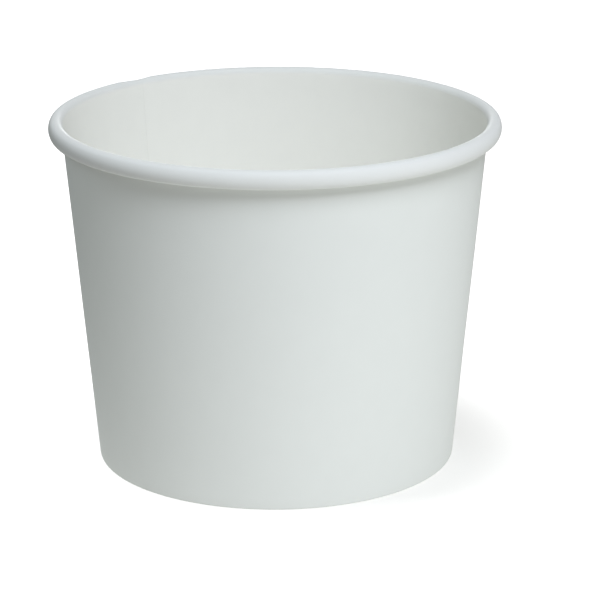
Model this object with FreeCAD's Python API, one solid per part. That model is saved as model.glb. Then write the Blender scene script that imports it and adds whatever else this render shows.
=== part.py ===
"""A paper sundae cup: a tapered paperboard wall with a rolled rim, and a dished paperboard base sealed into its foot.

Millimetres. +Z is up, the origin is the middle of the circle that the cup stands on, and -Y is the front.
The cup is made of two pieces of board. The wall is one fan-shaped blank wrapped into a cone: its ends lap and
are heat sealed, its top edge is rolled outwards into a bead, and its bottom edge is turned in and up as a hem.
The base is a disc with a skirt turned down, and the skirt is held between the wall and the hem.
"""
import FreeCAD
import Part

import math
import os

# Driving sizes of the finished cup
rim_diameter = 98.0  # over the rolled bead
cup_height = 76.2  # from the foot to the top of the bead
foot_diameter = 78.7  # over the wall, at the foot

# Board
wall_board = 0.40
base_board = 0.32
seal_gap = 0.05  # film between the base's skirt and the board on each side of it

# Rolled rim: the radii are those of the middle of the board
bead_top_radius = 1.33
bead_side_radius = 2.42
bead_side_turn = 60.0  # degrees of the flatter side, half above and half below the widest point
bead_gap = 0.08  # between the wall at its seam and the board that comes back up beside it
bead_tail = 0.9  # straight end of the board inside the bead

# Side seam
seam_azimuth = 131.3  # where the inner end of the blank shows inside the cup, counted from +X towards +Y
lap_width = 7.0  # overlap of the blank's two ends, along the rim
lap_rise = 1.6  # length over which the outer end climbs onto the inner one
lap_step = 0.28  # how far the outer end lies outside the inner one, which the heat seal presses into each other

# Foot
fold_inner_radius = 0.10  # inside the fold, which stays a little flat on the table
fold_round_limit = 0.4  # the most that this radius may be, as a share of the slot that the skirt sits in
hem_height = 6.5  # from the foot to the raw edge of the hem

# Base
base_recess = 7.8  # from the foot to the underside of the base
base_inner_radius = 0.45  # inside the bend between the base and its skirt
skirt_clearance = 0.8  # from the skirt's raw edge to the inside of the fold

UP = FreeCAD.Vector(0, 0, 1)
ORIGIN = FreeCAD.Vector(0, 0, 0)


def along(heading):
    """Unit direction (r, z) of a heading in degrees, 0 pointing away from the axis and 90 straight up."""
    return math.cos(math.radians(heading)), math.sin(math.radians(heading))


def left_of(heading):
    """Unit direction (r, z) to the left of a heading."""
    r, z = along(heading)
    return -z, r


def moved(point, direction, distance):
    return point[0] + direction[0] * distance, point[1] + direction[1] * distance


def vector(point):
    return FreeCAD.Vector(point[0], 0, point[1])


def board_edge(start, heading, path, offset):
    """Edges of the line that runs `offset` to the left of a path of straights and bends.

    A straight is ("straight", length). A bend is ("bend", radius, turn), with turn positive to the left."""
    edges = []
    point = start
    for step in path:
        if step[0] == "straight":
            end = moved(point, along(heading), step[1])
            ends = [moved(p, left_of(heading), offset) for p in (point, end)]
            edges.append(Part.LineSegment(vector(ends[0]), vector(ends[1])).toShape())
        else:
            radius, turn = step[1], step[2]
            side = math.copysign(1.0, turn)
            centre = moved(point, left_of(heading), side * radius)
            headings = (heading, heading + turn / 2, heading + turn)
            on_arc = [moved(centre, left_of(h), offset - side * radius) for h in headings]
            edges.append(Part.Arc(*[vector(p) for p in on_arc]).toShape())
            heading += turn
            end = moved(centre, left_of(heading), -side * radius)
        point = end
    return edges


def section_between(left, right):
    """Face between two lines of edges that run the same way, closed straight across at both ends."""
    first = Part.LineSegment(right[0].firstVertex().Point, left[0].firstVertex().Point).toShape()
    last = Part.LineSegment(left[-1].lastVertex().Point, right[-1].lastVertex().Point).toShape()
    return Part.Face(Part.Wire(left + [last] + right[::-1] + [first]))


# The wall's line: it leaves the fold of the foot on one side and enters the top arc of the bead on the other,
# tangent to both, so its slope follows from the two circles.
slot = base_board + 2 * seal_gap
fold_radius = min(fold_inner_radius, fold_round_limit * slot) + wall_board / 2
fold_centre = (foot_diameter / 2 - wall_board / 2 - fold_radius, wall_board / 2 + fold_radius)
bead_inset = bead_side_radius + (bead_top_radius - bead_side_radius) * math.cos(math.radians(bead_side_turn / 2))
bead_centre = (rim_diameter / 2 - wall_board / 2 - bead_inset, cup_height - wall_board / 2 - bead_top_radius)
rise = (bead_centre[0] - fold_centre[0], bead_centre[1] - fold_centre[1])
rise_length = math.hypot(*rise)
wall_heading = math.degrees(
    math.atan2(rise[1], rise[0]) + math.asin((bead_top_radius + fold_radius) / rise_length)
)
wall_length = math.sqrt(rise_length**2 - (bead_top_radius + fold_radius) ** 2)
slope_run, slope_rise = along(wall_heading)
fold_flat = (slot + wall_board - 2 * fold_radius) / slope_rise


def bead_close_radius():
    """Radius of the bead's lowest arc, so that the board comes back up beside the wall and clears it by bead_gap
    where the seam's two layers lie.

    Along the normal of the wall, the centre of this arc lies its own radius from the board that comes back."""
    toward_upper = math.sin(math.radians(wall_heading - bead_side_turn / 2))
    toward_lower = math.sin(math.radians(wall_heading + bead_side_turn / 2))
    reach = bead_top_radius + (bead_top_radius - bead_side_radius) * toward_upper
    reach += bead_side_radius * toward_lower
    return (reach - wall_board - lap_step - bead_gap) / (1 + toward_lower)


bead_bottom_radius = bead_close_radius()


def wall_side(layer, offset):
    """One side of the wall's board, as it lies `layer` millimetres outside the innermost turn of the blank.

    It starts at the raw edge of the hem, runs down, round the foot, up the wall and round the bead. The outside
    of the cup is on the right all the way, so a layer laid there widens the fold and tightens the bead."""
    shift = layer / slope_rise
    hem_fold = (fold_centre[0] - fold_flat - shift, fold_centre[1])
    hem_foot = moved(hem_fold, left_of(wall_heading), fold_radius)
    hem_length = (hem_height - hem_foot[1]) / slope_rise
    path = [
        ("straight", hem_length),
        ("bend", fold_radius, 180 - wall_heading),
        ("straight", fold_flat + 2 * shift),
        ("bend", fold_radius, wall_heading),
        ("straight", wall_length - shift * slope_run),
        ("bend", bead_top_radius - layer, -(wall_heading + 90 - bead_side_turn / 2)),
        ("bend", bead_side_radius - layer, -bead_side_turn),
        ("bend", bead_bottom_radius - layer, -(270 - wall_heading - bead_side_turn / 2)),
        ("straight", bead_tail),
    ]
    start = moved(hem_foot, along(wall_heading), hem_length)
    return board_edge(start, wall_heading + 180, path, offset)


def wall_section(first_layer, last_layer):
    """Section of the wall from the inner side of one layer of board to the outer side of the same or another."""
    return section_between(wall_side(first_layer, wall_board / 2), wall_side(last_layer, -wall_board / 2))


def turned(shape, azimuth):
    return shape.rotated(ORIGIN, UP, azimuth)


def side_wall():
    """The wrapped wall. Seen from above the blank starts at the seam and runs clockwise, and its last stretch
    climbs onto its own start, so it is one layer thick but for the lap."""
    top_radius = bead_centre[0] - bead_top_radius
    lap_turn = math.degrees(lap_width / top_radius)
    rise_turn = math.degrees(lap_rise / top_radius)
    inner_layer = wall_section(0, 0)
    outer_layer = wall_section(lap_step, lap_step)
    both_layers = wall_section(0, lap_step)

    single = turned(inner_layer, seam_azimuth + rise_turn).revolve(ORIGIN, UP, 360 - lap_turn - rise_turn)
    lap = turned(both_layers, seam_azimuth - lap_turn).revolve(ORIGIN, UP, lap_turn)
    climb_ends = [
        turned(outer_layer, seam_azimuth).OuterWire,
        turned(inner_layer, seam_azimuth + rise_turn).OuterWire,
    ]
    climb = Part.makeLoft(climb_ends, True, True)
    return single.fuse([lap, climb]).removeSplitter()


def base_disc():
    """The base: a flat disc whose rim is turned down as a skirt, parallel to the wall and inside it."""
    bend_radius = base_inner_radius + base_board / 2
    skirt_in = wall_board / 2 + seal_gap + base_board / 2
    skirt_line = moved(fold_centre, left_of(wall_heading), skirt_in - fold_radius)
    bend_z = base_recess + base_board / 2 - bend_radius
    bend_r = skirt_line[0] + ((bend_z - skirt_line[1]) * slope_run - bend_radius) / slope_rise
    bend_end = moved((bend_r, bend_z), left_of(wall_heading), -bend_radius)
    skirt_end = fold_centre[1] - fold_radius + wall_board / 2 + skirt_clearance
    path = [
        ("straight", bend_r),
        ("bend", bend_radius, wall_heading - 180),
        ("straight", (bend_end[1] - skirt_end) / slope_rise),
    ]
    start = (0, base_recess + base_board / 2)
    sides = [board_edge(start, 0, path, offset) for offset in (base_board / 2, -base_board / 2)]
    return section_between(*sides).revolve(ORIGIN, UP, 360)


pieces = {
    "side_wall": side_wall(),
    "base_disc": base_disc(),
}

os.makedirs("parts", exist_ok=True)
for name, shape in pieces.items():
    solid = shape.Solids[0]
    if len(shape.Solids) != 1 or not solid.isValid():
        raise ValueError(f"{name} should be one valid solid")
    solid.exportStep(f"parts/{name}.step")
    print(name, round(solid.Volume, 2), "mm3", len(solid.Faces), "faces")
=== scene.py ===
import math

import bmesh
import bpy
from mathutils import Euler, Matrix, Vector, noise


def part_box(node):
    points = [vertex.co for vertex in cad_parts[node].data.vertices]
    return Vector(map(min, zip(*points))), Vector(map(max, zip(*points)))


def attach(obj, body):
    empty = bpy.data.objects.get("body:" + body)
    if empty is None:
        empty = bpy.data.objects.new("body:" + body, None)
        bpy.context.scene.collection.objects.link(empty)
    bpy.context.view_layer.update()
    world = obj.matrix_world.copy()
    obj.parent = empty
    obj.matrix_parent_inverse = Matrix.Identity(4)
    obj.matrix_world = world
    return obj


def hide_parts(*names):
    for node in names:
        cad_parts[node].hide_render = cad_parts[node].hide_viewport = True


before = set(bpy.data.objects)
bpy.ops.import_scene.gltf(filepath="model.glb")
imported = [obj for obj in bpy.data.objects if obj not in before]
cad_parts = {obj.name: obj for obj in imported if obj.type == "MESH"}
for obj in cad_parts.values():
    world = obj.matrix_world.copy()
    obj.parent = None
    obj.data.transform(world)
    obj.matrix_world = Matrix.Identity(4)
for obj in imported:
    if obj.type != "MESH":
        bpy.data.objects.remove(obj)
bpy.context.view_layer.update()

# The side wall.
# One fan-shaped blank of white paperboard, wrapped into a cone and heat sealed where its two ends lap.
# Its top edge is rolled outwards into the rim, and its bottom edge is folded in and up as a hem. The
# filmed side is inside the cup.
mm = 0.001
wall_low, wall_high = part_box("side_wall")
rim_radius = (wall_high.x - wall_low.x) / 2
cup_height = wall_high.z
foot_radius = 39.35 * mm
wall_board = 0.40 * mm
base_board = 0.32 * mm
seal_gap = 0.05 * mm

# The rolled bead, with the radii of the board's film side, and the fold of the foot
bead_top_radius = 1.53 * mm
bead_side_radius = 2.62 * mm
bead_side_half = math.radians(30)  # half the turn of the flatter side, above and below the widest point
bead_gap = 0.08 * mm  # between the wall at its seam and the board that comes back up beside it
bead_tail = 0.9 * mm
fold_inner_radius = 0.10 * mm
hem_height = 6.5 * mm

# The lap: the heat seal presses both ends of the blank thinner and into each other
seam_azimuth = math.radians(131.3)
lap_width = 7.0 * mm
lap_rise = 6.0 * mm  # length over which the outer end climbs onto the inner one
pressed_board = 0.30 * mm
lap_film = 0.01 * mm
inner_end_press = 0.27 * mm
inner_end_width = 4.0 * mm
outer_end_press = 0.10 * mm
outer_end_width = 0.5 * mm
lap_release = 2.0 * mm  # length over which the pressed board is back to its full thickness

# The slight unevenness of a wrapped cone, which the base and the bead hold round at its two ends
wall_wave = 0.07 * mm
wall_wave_length = 34 * mm
wall_wave_start = 9 * mm
wall_wave_foot_fade = 20 * mm
wall_wave_rim_fade = 18 * mm
rim_wave = 0.05 * mm
rim_wave_length = 45 * mm
rim_wave_start = 55 * mm
rim_wave_fade = 18 * mm

slot_width = base_board + 2 * seal_gap
lap_step = pressed_board + lap_film
fold_centre = Vector((foot_radius - wall_board - fold_inner_radius, wall_board + fold_inner_radius))
bead_inset = bead_side_radius + (bead_top_radius - bead_side_radius) * math.cos(bead_side_half)
bead_centre = Vector((rim_radius - bead_inset, cup_height - bead_top_radius))
fold_to_bead = bead_centre - fold_centre
wall_slope = math.atan2(fold_to_bead.y, fold_to_bead.x)
wall_slope += math.asin((bead_top_radius + fold_inner_radius) / fold_to_bead.length)
wall_up = Vector((math.cos(wall_slope), math.sin(wall_slope)))
wall_out = Vector((wall_up.y, -wall_up.x))
wall_out_angle = wall_slope - math.pi / 2
fold_in_centre = fold_centre - Vector(((slot_width - 2 * fold_inner_radius) / wall_up.y, 0))


def polar(angle):
    return Vector((math.cos(angle), math.sin(angle)))


def bead_close_radius():
    """Radius of the bead's lowest arc on the film side, so that the rolled edge comes back up
    beside the wall."""
    toward_upper = polar(bead_side_half).dot(wall_out)
    toward_lower = polar(-bead_side_half).dot(wall_out)
    reach = bead_top_radius + (bead_top_radius - bead_side_radius) * toward_upper
    reach += bead_side_radius * toward_lower
    return (reach - lap_step - pressed_board - bead_gap) / (1 + toward_lower)


bead_bottom_radius = bead_close_radius()
bead_side_centre = bead_centre + (bead_top_radius - bead_side_radius) * polar(bead_side_half)
bead_low_centre = bead_side_centre + (bead_side_radius - bead_bottom_radius) * polar(-bead_side_half)


def straight(start, end, rows):
    return [start.lerp(end, i / rows) for i in range(rows)]


def arc(centre, radius, start, end, rows):
    return [centre + radius * polar(start + (end - start) * i / rows) for i in range(rows)]


hem_rows = 6
inner_fold_rows = 7
foot_rows = 1
outer_fold_rows = 6
cone_rows = 44
bead_top_rows = 16
bead_side_rows = 6
bead_low_rows = 14
tail_rows = 3


def face_line(layer, depth, lift):
    """Points (r, z) of one face of the board, from the hem's raw edge round the foot and the wall to
    the rim's end.

    `layer` is how far this turn of the blank lies outside the innermost one, `depth` how far into the
    board the face is from its film side, and `lift` how far its fold is raised off the table by a turn
    that passes below it."""
    raised = lift / wall_up.y * wall_up
    outer_fold = fold_centre + Vector((layer / wall_up.y, 0)) + raised
    inner_fold = fold_in_centre - Vector((layer / wall_up.y, 0)) + raised
    fold_radius = fold_inner_radius + depth
    shrink = layer + depth
    hem_foot = inner_fold - fold_radius * wall_out
    hem_top = hem_foot + (hem_height - hem_foot.y) / wall_up.y * wall_up
    wall_foot = outer_fold + fold_radius * wall_out
    wall_top = bead_centre - (bead_top_radius - shrink) * wall_out
    inward = wall_out_angle + math.pi
    downward = 1.5 * math.pi
    tail_foot = bead_low_centre - (bead_bottom_radius - shrink) * wall_out
    tail_top = tail_foot + bead_tail * wall_up
    down = fold_radius * polar(downward)
    return [
        *straight(hem_top, hem_foot, hem_rows),
        *arc(inner_fold, fold_radius, inward, downward, inner_fold_rows),
        *straight(inner_fold + down, outer_fold + down, foot_rows),
        *arc(outer_fold, fold_radius, downward, wall_out_angle + 2 * math.pi, outer_fold_rows),
        *straight(wall_foot, wall_top, cone_rows),
        *arc(bead_centre, bead_top_radius - shrink, inward, bead_side_half, bead_top_rows),
        *arc(bead_side_centre, bead_side_radius - shrink, bead_side_half, -bead_side_half, bead_side_rows),
        *arc(
            bead_low_centre, bead_bottom_radius - shrink, -bead_side_half, inward - 2 * math.pi, bead_low_rows
        ),
        *straight(tail_foot, tail_top, tail_rows),
        tail_top,
    ]


def ease(x):
    """A soft step from 0 to 1 as x goes from 0 to 1."""
    x = min(max(x, 0.0), 1.0)
    return x * x * (3 - 2 * x)


turn_radius = bead_centre.x - bead_top_radius
turn_length = 2 * math.pi * turn_radius
blank_length = turn_length + lap_width


def board_at(along):
    """Layer, depth of the film side, depth of the outer side and lift of the board, at a distance along
    the blank from its inner end."""
    in_lap = 1 - ease((along - lap_width) / lap_release)
    climbed = min(max((along - turn_length + lap_rise) / lap_rise, 0.0), 1.0)
    thickness = wall_board - (wall_board - pressed_board) * max(in_lap, climbed)
    film_press = inner_end_press * (1 - ease(along / inner_end_width))
    outer_press = outer_end_press * (1 - ease((blank_length - along) / outer_end_width))
    return lap_step * climbed, film_press, thickness - outer_press, lap_step * in_lap


def unevenness(azimuth, z):
    """How far the board stands out of a true cone, and how far the rim is above its mean height."""
    round_the_cup = turn_radius * Vector((math.cos(azimuth), math.sin(azimuth), 0))
    free = ease((z - wall_wave_start) / wall_wave_foot_fade) * ease((cup_height - z) / wall_wave_rim_fade)
    on_the_wall = round_the_cup / wall_wave_length + Vector((0, 0, z / wall_wave_length))
    out = wall_wave * free * noise.noise(on_the_wall)
    near_the_rim = ease((z - rim_wave_start) / rim_wave_fade)
    up = rim_wave * near_the_rim * noise.noise(round_the_cup / rim_wave_length)
    return out, up


def placed(point, azimuth):
    """A point (r, z) of the board's section, set at its azimuth round the cup."""
    out, up = unevenness(azimuth, point.y)
    radius = point.x + out
    return (radius * math.cos(azimuth), radius * math.sin(azimuth), point.y + up)


# Distances along the blank of the mesh's columns, which are closest at its two ends
fine_step = 0.1 * mm
fine_width = 0.8 * mm
turn_steps = 312
climb_steps = 20
lap_steps = 7
fine_ends = [i * fine_step for i in range(int(fine_width / fine_step))]
climb_start = turn_length - lap_rise
columns = [*fine_ends]
columns += [fine_width + i * (climb_start - fine_width) / turn_steps for i in range(turn_steps)]
columns += [climb_start + i * lap_rise / climb_steps for i in range(climb_steps)]
columns += [turn_length + i * (lap_width - fine_width) / lap_steps for i in range(lap_steps)]
columns += [blank_length - fine_width + i * fine_step for i in range(len(fine_ends) + 1)]

rings = []
for along in columns:
    layer, film_depth, outer_depth, lift = board_at(along)
    azimuth = seam_azimuth - along / turn_radius
    film_line = face_line(layer, film_depth, lift)
    outer_line = face_line(layer, outer_depth, lift)
    rings.append([placed(p, azimuth) for p in film_line + outer_line[::-1]])

# Each face is on the film side, on the outer side or on a raw edge, in the order of the piece's materials
FILM, OUTER, RAW = 0, 1, 2
side_points = len(rings[0]) // 2
ring_points = 2 * side_points
wall_points = [p for ring in rings for p in ring]
wall_faces = []
wall_finish = []
for i in range(len(rings) - 1):
    for j in range(ring_points):
        a, b = i * ring_points + j, i * ring_points + (j + 1) % ring_points
        wall_faces.append((a, b, b + ring_points, a + ring_points))
        on_raw_edge = j in (side_points - 1, ring_points - 1)
        wall_finish.append(RAW if on_raw_edge else FILM if j < side_points else OUTER)
for first in (0, (len(rings) - 1) * ring_points):
    for j in range(side_points - 1):
        other = ring_points - 1 - j
        wall_faces.append((first + j, first + other, first + other - 1, first + j + 1))
        wall_finish.append(RAW)

smooth_up_to = math.radians(50)


def board_mesh(name, points, faces, finish):
    """A closed mesh of board, smooth but for its cut edges."""
    mesh = bpy.data.meshes.new(name)
    mesh.from_pydata(points, [], faces)
    for face, slot in zip(mesh.polygons, finish):
        face.material_index = slot
    work = bmesh.new()
    work.from_mesh(mesh)
    bmesh.ops.recalc_face_normals(work, faces=work.faces)
    work.to_mesh(mesh)
    work.free()
    mesh.shade_smooth()
    mesh.set_sharp_from_angle(angle=smooth_up_to)
    piece = bpy.data.objects.new(name, mesh)
    bpy.context.scene.collection.objects.link(piece)
    return piece


# The patterns are longest along the board's grain, which runs up the cup. Scales are per metre.
fibre_scale = 1500
fibre_detail = 4
fibre_stretch = (1, 1, 0.4)
cloud_scale = 240
cloud_detail = 3
cloud_stretch = (1, 1, 0.8)
shade_scale = 28
shade_detail = 2
shade_stretch = (1, 1, 1)
cloud_share = 0.6
shade_share = 0.4
gloss_unevenness = 0.25
cloud_relief = 1.5


def make_board_surface():
    """Node group for paperboard: fibres and cloudy formation, as a colour, a roughness and a normal."""
    group = bpy.data.node_groups.new("board_surface", "ShaderNodeTree")
    group.interface.new_socket("Colour", in_out="INPUT", socket_type="NodeSocketColor")
    for name in ("Cloudiness", "Roughness", "Fibre Height"):
        group.interface.new_socket(name, in_out="INPUT", socket_type="NodeSocketFloat")
    group.interface.new_socket("Colour", in_out="OUTPUT", socket_type="NodeSocketColor")
    group.interface.new_socket("Roughness", in_out="OUTPUT", socket_type="NodeSocketFloat")
    group.interface.new_socket("Normal", in_out="OUTPUT", socket_type="NodeSocketVector")
    nodes, links = group.nodes, group.links
    given = nodes.new("NodeGroupInput")
    made = nodes.new("NodeGroupOutput")
    where = nodes.new("ShaderNodeTexCoord")

    def noise_field(scale, detail, stretch):
        lie = nodes.new("ShaderNodeMapping")
        lie.inputs["Scale"].default_value = stretch
        field = nodes.new("ShaderNodeTexNoise")
        field.inputs["Scale"].default_value = scale
        field.inputs["Detail"].default_value = detail
        links.new(where.outputs["Object"], lie.inputs["Vector"])
        links.new(lie.outputs["Vector"], field.inputs["Vector"])
        return field.outputs["Fac"]

    def maths(operation, *values):
        node = nodes.new("ShaderNodeMath")
        node.operation = operation
        for socket, value in zip(node.inputs, values):
            if isinstance(value, (int, float)):
                socket.default_value = value
            else:
                links.new(value, socket)
        return node.outputs["Value"]

    fibres = noise_field(fibre_scale, fibre_detail, fibre_stretch)
    clouds = noise_field(cloud_scale, cloud_detail, cloud_stretch)
    shades = noise_field(shade_scale, shade_detail, shade_stretch)
    formation = maths("ADD", maths("MULTIPLY", clouds, cloud_share), maths("MULTIPLY", shades, shade_share))
    off_mean = maths("SUBTRACT", formation, 0.5)
    tone = maths("ADD", 1, maths("MULTIPLY", off_mean, given.outputs["Cloudiness"]))
    tint = nodes.new("ShaderNodeVectorMath")
    tint.operation = "SCALE"
    links.new(given.outputs["Colour"], tint.inputs[0])
    links.new(tone, tint.inputs["Scale"])
    links.new(tint.outputs["Vector"], made.inputs["Colour"])
    uneven_gloss = maths("MULTIPLY", maths("SUBTRACT", fibres, 0.5), gloss_unevenness)
    links.new(maths("ADD", given.outputs["Roughness"], uneven_gloss), made.inputs["Roughness"])
    relief = nodes.new("ShaderNodeBump")
    links.new(given.outputs["Fibre Height"], relief.inputs["Distance"])
    links.new(maths("ADD", fibres, maths("MULTIPLY", clouds, cloud_relief)), relief.inputs["Height"])
    links.new(relief.outputs["Normal"], made.inputs["Normal"])
    return group


board_surface = make_board_surface()


def board_finish(name, colour, cloudiness, roughness, fibre_height, gloss):
    """A paperboard material. `gloss` is the shader's specular level."""
    material = bpy.data.materials.new(name)
    material.use_nodes = True
    nodes, links = material.node_tree.nodes, material.node_tree.links
    shader = nodes["Principled BSDF"]
    shader.inputs["Specular IOR Level"].default_value = gloss
    surface = nodes.new("ShaderNodeGroup")
    surface.name = "surface"
    surface.node_tree = board_surface
    surface.inputs["Colour"].default_value = (*colour, 1)
    surface.inputs["Cloudiness"].default_value = cloudiness
    surface.inputs["Roughness"].default_value = roughness
    surface.inputs["Fibre Height"].default_value = fibre_height
    links.new(surface.outputs["Colour"], shader.inputs["Base Color"])
    links.new(surface.outputs["Roughness"], shader.inputs["Roughness"])
    links.new(surface.outputs["Normal"], shader.inputs["Normal"])
    return material


film_colour = (0.90, 0.90, 0.855)
# The next two film colours are painted shade, for the bead's crest and for the rest of the bead
shaded_crest_colour = (0.765, 0.775, 0.755)
shaded_bead_colour = (0.785, 0.80, 0.785)
film_side = board_finish(
    "film_side",
    colour=film_colour,
    cloudiness=0.04,
    roughness=0.5,
    fibre_height=0.006 * mm,
    gloss=0.1,
)
outer_side = board_finish(
    "outer_side",
    colour=(0.785, 0.81, 0.785),
    cloudiness=0.04,
    roughness=0.65,
    fibre_height=0.012 * mm,
    gloss=0.15,
)
raw_edge = board_finish(
    "raw_edge",
    colour=(0.74, 0.735, 0.69),
    cloudiness=0.12,
    roughness=0.9,
    fibre_height=0.04 * mm,
    gloss=0.1,
)

# Painted shade: the film is coloured greyer round the bead, and greyest on the crest, to stand in for the
# shade that falls there. So its colour follows its height there, and then how far it lies outside the
# straight wall.
crest_shade_full = 0.9 * mm
bead_shade_start = 1.7 * mm
bead_shade_full = 2.5 * mm
wall_lean = wall_up.x / wall_up.y
film_foot = fold_centre + fold_inner_radius * wall_out
straight_wall = film_foot.x - wall_lean * film_foot.y
nodes, links = film_side.node_tree.nodes, film_side.node_tree.links
where = nodes.new("ShaderNodeTexCoord")
level = nodes.new("ShaderNodeVectorMath")
level.operation = "MULTIPLY"
level.inputs[1].default_value = (1, 1, 0)
from_axis = nodes.new("ShaderNodeVectorMath")
from_axis.operation = "LENGTH"
height = nodes.new("ShaderNodeSeparateXYZ")
upright = nodes.new("ShaderNodeMath")
upright.operation = "MULTIPLY_ADD"
upright.inputs[1].default_value = -wall_lean
# Painted shade on the crest, rising with height above the bead's centre
crest_shade = nodes.new("ShaderNodeMapRange")
crest_shade.interpolation_type = "SMOOTHSTEP"
crest_shade.inputs["From Min"].default_value = bead_centre.y
crest_shade.inputs["From Max"].default_value = bead_centre.y + crest_shade_full
# Painted shade on the rest of the bead, by how far it lies outside the straight wall
bead_shade = nodes.new("ShaderNodeMapRange")
bead_shade.interpolation_type = "SMOOTHSTEP"
bead_shade.inputs["From Min"].default_value = straight_wall + bead_shade_start
bead_shade.inputs["From Max"].default_value = straight_wall + bead_shade_full
crest_tone = nodes.new("ShaderNodeMix")
crest_tone.data_type = "RGBA"
crest_tone.inputs["A"].default_value = (*film_colour, 1)
crest_tone.inputs["B"].default_value = (*shaded_crest_colour, 1)
film_tone = nodes.new("ShaderNodeMix")
film_tone.data_type = "RGBA"
film_tone.inputs["B"].default_value = (*shaded_bead_colour, 1)
links.new(where.outputs["Object"], level.inputs[0])
links.new(level.outputs["Vector"], from_axis.inputs[0])
links.new(where.outputs["Object"], height.inputs["Vector"])
links.new(height.outputs["Z"], upright.inputs[0])
links.new(from_axis.outputs["Value"], upright.inputs[2])
links.new(height.outputs["Z"], crest_shade.inputs["Value"])
links.new(upright.outputs["Value"], bead_shade.inputs["Value"])
links.new(crest_shade.outputs["Result"], crest_tone.inputs["Factor"])
links.new(crest_tone.outputs["Result"], film_tone.inputs["A"])
links.new(bead_shade.outputs["Result"], film_tone.inputs["Factor"])
links.new(film_tone.outputs["Result"], nodes["surface"].inputs["Colour"])

side_wall = board_mesh("wall_blank", wall_points, wall_faces, wall_finish)
for finish in (film_side, outer_side, raw_edge):
    side_wall.data.materials.append(finish)
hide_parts("side_wall")
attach(side_wall, "root")

# The base.
# A round blank of thinner board. Its edge is turned down as a skirt, which crimps a little as it is
# pressed, and is sealed between the wall and the hem, so that the base stands clear of the table. Its
# filmed side is up.
base_low, base_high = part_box("base_disc")
base_bend_radius = 0.45 * mm
base_sag = 0.12 * mm
crimps = 72
crimp_height = 0.03 * mm
crimp_fade = 2 * mm
flat_rows = 26
bend_rows = 8
skirt_rows = 9
base_columns = 288
skirt_line_foot = fold_centre + (fold_inner_radius - seal_gap) * wall_out


def base_line(depth):
    """Points (r, z) of one face of the base, from its centre out and down to the skirt's raw edge."""
    bend_radius = base_bend_radius + base_board - depth
    bend_z = base_high.z - base_board - base_bend_radius
    outer_at = skirt_line_foot + (bend_z - skirt_line_foot.y) / wall_up.y * wall_up
    bend_centre = Vector((outer_at.x - (base_bend_radius + base_board) / wall_up.y, bend_z))
    bend_end = bend_centre + bend_radius * wall_out
    skirt_end = bend_end + (base_low.z - bend_end.y) / wall_up.y * wall_up
    flat = straight(Vector((0, base_high.z - depth)), bend_centre + Vector((0, bend_radius)), flat_rows)
    for p in flat:
        p.y -= base_sag * (1 - (p.x / bend_centre.x) ** 2)
    bend = arc(bend_centre, bend_radius, math.pi / 2, wall_out_angle, bend_rows)
    return flat, [*bend, *straight(bend_end, skirt_end, skirt_rows), skirt_end]


base_points, base_faces, base_finish = [], [], []
faces_of_base = [base_line(0), base_line(base_board)]
side_rings = [flat[1:] + rest for flat, rest in faces_of_base]
base_ring = side_rings[0] + side_rings[1][::-1]
top_centre, under_centre = [flat[0] for flat, rest in faces_of_base]
for i in range(base_columns):
    azimuth = 2 * math.pi * i / base_columns
    for p in base_ring:
        turned_down = ease((base_high.z - base_board - p.y) / crimp_fade)
        radius = p.x + crimp_height * turned_down * math.sin(crimps * azimuth)
        base_points.append((radius * math.cos(azimuth), radius * math.sin(azimuth), p.y))
side_points = len(side_rings[0])
ring_points = len(base_ring)
base_points += [(0, 0, top_centre.y), (0, 0, under_centre.y)]
for i in range(base_columns):
    here, there = i * ring_points, (i + 1) % base_columns * ring_points
    for j in range(ring_points - 1):
        base_faces.append((here + j, here + j + 1, there + j + 1, there + j))
        base_finish.append(RAW if j == side_points - 1 else FILM if j < side_points else OUTER)
    base_faces.append((here, there, len(base_points) - 2))
    base_finish.append(FILM)
    base_faces.append((here + ring_points - 1, there + ring_points - 1, len(base_points) - 1))
    base_finish.append(OUTER)

base = board_mesh("base_blank", base_points, base_faces, base_finish)
for finish in (film_side, outer_side, raw_edge):
    base.data.materials.append(finish)
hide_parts("base_disc")
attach(base, "root")

# The floor.
# A plain white table. The camera sees it as white, with only a faint shadow close to the cup on its
# right. Other rays meet a glow that is brightest at the front right, as from a lit white table.
floor_half = 3.0
white_from = 38 * mm  # from the cup's axis
white_full = 70 * mm
glow_at_cup = 0.54
table_glow_centre = (0.17, -0.15, 0)
table_glow_from = 0.08
table_glow_end = 0.50
table_glow_strength = 1.13
table_glow_colour = (0.985, 1.0, 0.98, 1)
floor_mesh = bpy.data.meshes.new("floor")
corners = [(x * floor_half, y * floor_half, 0) for x, y in ((-1, -1), (1, -1), (1, 1), (-1, 1))]
floor_mesh.from_pydata(corners, [], [(0, 1, 2, 3)])
floor = bpy.data.objects.new("floor", floor_mesh)
bpy.context.scene.collection.objects.link(floor)

floor_paint = bpy.data.materials.new("floor_paint")
floor_paint.use_nodes = True
nodes, links = floor_paint.node_tree.nodes, floor_paint.node_tree.links
paint = nodes["Principled BSDF"]
paint.inputs["Base Color"].default_value = (0.9, 0.9, 0.9, 1)
paint.inputs["Roughness"].default_value = 0.9
paint.inputs["Specular IOR Level"].default_value = 0
where = nodes.new("ShaderNodeTexCoord")
from_middle = nodes.new("ShaderNodeVectorMath")
from_middle.operation = "LENGTH"
whiter = nodes.new("ShaderNodeMapRange")
whiter.interpolation_type = "SMOOTHSTEP"
whiter.inputs["From Min"].default_value = white_from
whiter.inputs["From Max"].default_value = white_full
whiter.inputs["To Min"].default_value = glow_at_cup
whiter.inputs["To Max"].default_value = 1.0
shown_glow = nodes.new("ShaderNodeEmission")
shown_table = nodes.new("ShaderNodeAddShader")
table_glow = nodes.new("ShaderNodeEmission")
table_glow.inputs["Color"].default_value = table_glow_colour
from_glow = nodes.new("ShaderNodeVectorMath")
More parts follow.
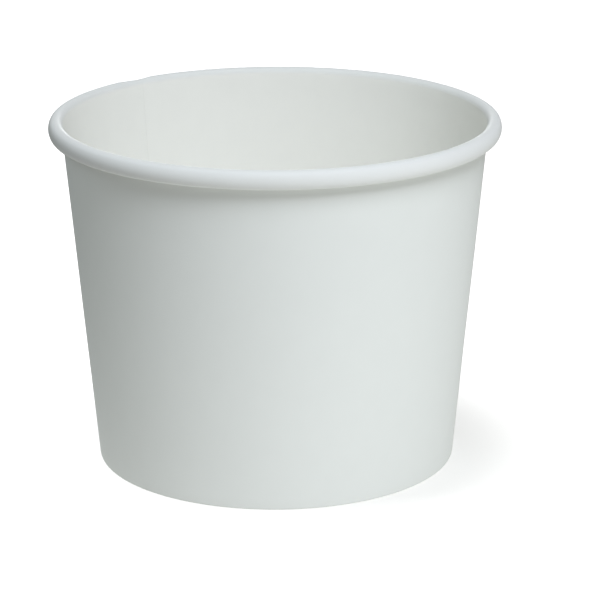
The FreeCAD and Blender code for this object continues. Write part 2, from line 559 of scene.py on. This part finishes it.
from_glow.operation = "DISTANCE"
from_glow.inputs[1].default_value = table_glow_centre
table_glow_fade = nodes.new("ShaderNodeMapRange")
table_glow_fade.interpolation_type = "SMOOTHSTEP"
table_glow_fade.inputs["From Min"].default_value = table_glow_from
table_glow_fade.inputs["From Max"].default_value = table_glow_end
table_glow_fade.inputs["To Min"].default_value = table_glow_strength
table_glow_fade.inputs["To Max"].default_value = 0
light_path = nodes.new("ShaderNodeLightPath")
by_ray = nodes.new("ShaderNodeMixShader")
links.new(where.outputs["Object"], from_glow.inputs[0])
links.new(from_glow.outputs["Value"], table_glow_fade.inputs["Value"])
links.new(table_glow_fade.outputs["Result"], table_glow.inputs["Strength"])
links.new(where.outputs["Object"], from_middle.inputs[0])
links.new(from_middle.outputs["Value"], whiter.inputs["Value"])
links.new(whiter.outputs["Result"], shown_glow.inputs["Strength"])
links.new(shown_glow.outputs["Emission"], shown_table.inputs[0])
links.new(paint.outputs["BSDF"], shown_table.inputs[1])
links.new(light_path.outputs["Is Camera Ray"], by_ray.inputs["Fac"])
links.new(table_glow.outputs["Emission"], by_ray.inputs[1])
links.new(shown_table.outputs["Shader"], by_ray.inputs[2])
links.new(by_ray.outputs["Shader"], nodes["Material Output"].inputs["Surface"])
floor_mesh.materials.append(floor_paint)

# The light.
# A large soft box at the front right lights the cup, a weaker one on the left fills its shaded side, and
# a small low one behind it lights the back of the wall. A lamp high on the left lights the table alone.
cup_middle = Vector((0, 0, cup_height / 2))
lamp_distance = 0.9


def soft_box(name, azimuth, elevation, size, power, colour, lit):
    """A square lamp that the camera doesn't see, aimed at the middle of the cup and lighting only the
    pieces in `lit`. Azimuth 0 is the camera's side, and 90 is the right."""
    a, e = math.radians(azimuth), math.radians(elevation)
    toward = Vector((math.sin(a) * math.cos(e), -math.cos(a) * math.cos(e), math.sin(e)))
    lamp = bpy.data.lights.new(name, "AREA")
    lamp.shape = "SQUARE"
    lamp.size = size
    lamp.energy = power
    lamp.color = colour
    box = bpy.data.objects.new(name, lamp)
    box.location = cup_middle + lamp_distance * toward
    box.rotation_euler = toward.to_track_quat("Z", "Y").to_euler()
    box.visible_camera = False
    bpy.context.scene.collection.objects.link(box)
    only = bpy.data.collections.new(name + "_lights")
    for piece in lit:
        only.objects.link(piece)
    box.light_linking.receiver_collection = only


soft_box(
    "key_light",
    azimuth=26,
    elevation=51,
    size=0.4,
    power=6.0,
    colour=(0.96, 1.0, 1.065),
    lit=[side_wall, base],
)
soft_box(
    "fill_light",
    azimuth=-95,
    elevation=42,
    size=0.5,
    power=1.5,
    colour=(0.90, 1.0, 1.03),
    lit=[side_wall, base],
)
soft_box(
    "back_light",
    azimuth=180,
    elevation=3,
    size=0.14,
    power=1.2,
    colour=(0.98, 1.0, 1.0),
    lit=[side_wall, base],
)
soft_box(
    "table_light",
    azimuth=-74,
    elevation=72,
    size=0.34,
    power=3.4,
    colour=(1, 1, 1),
    lit=[floor],
)

# The room sends a weak light from all round, and looks plain white itself
room_strength = 0.16
room_colour = (0.99, 1.0, 0.98, 1)
world = bpy.data.worlds.new("studio")
bpy.context.scene.world = world
world.use_nodes = True
nodes, links = world.node_tree.nodes, world.node_tree.links
room = nodes["Background"]
room.inputs["Color"].default_value = room_colour
room.inputs["Strength"].default_value = room_strength
white = nodes.new("ShaderNodeBackground")
white.inputs["Strength"].default_value = 1.0
light_path = nodes.new("ShaderNodeLightPath")
first_ray = nodes.new("ShaderNodeMath")
first_ray.operation = "MAXIMUM"
shown_ray = nodes.new("ShaderNodeMath")
shown_ray.operation = "MAXIMUM"
by_ray = nodes.new("ShaderNodeMixShader")
links.new(light_path.outputs["Is Camera Ray"], first_ray.inputs[0])
links.new(light_path.outputs["Is Glossy Ray"], first_ray.inputs[1])
links.new(first_ray.outputs["Value"], shown_ray.inputs[0])
links.new(light_path.outputs["Is Transmission Ray"], shown_ray.inputs[1])
links.new(shown_ray.outputs["Value"], by_ray.inputs["Fac"])
links.new(room.outputs["Background"], by_ray.inputs[1])
links.new(white.outputs["Background"], by_ray.inputs[2])
links.new(by_ray.outputs["Shader"], nodes["World Output"].inputs["Surface"])
bpy.context.scene.view_settings.view_transform = "Standard"

# The camera.
# It looks down at the cup from the front. Its angle, distance and lens are those that were worked out
# from the cup's outline in the photograph.
camera_elevation = math.radians(17.31)
camera_roll = math.radians(-0.1)
camera_distance = 628.7 * mm
camera_target = Vector((5.09, 0, 34.46)) * mm
focal_pixels = 2851
frame_pixels = 598
sensor_width = 36
camera_data = bpy.data.cameras.new("camera")
camera_data.sensor_width = sensor_width
camera_data.lens = sensor_width * focal_pixels / frame_pixels
camera = bpy.data.objects.new("camera", camera_data)
tilt = Euler((math.pi / 2 - camera_elevation, 0, 0)).to_matrix() @ Matrix.Rotation(camera_roll, 3, "Z")
camera.rotation_euler = tilt.to_euler()
camera.location = camera_target + tilt @ Vector((0, 0, camera_distance))
bpy.context.scene.collection.objects.link(camera)
bpy.context.scene.camera = camera
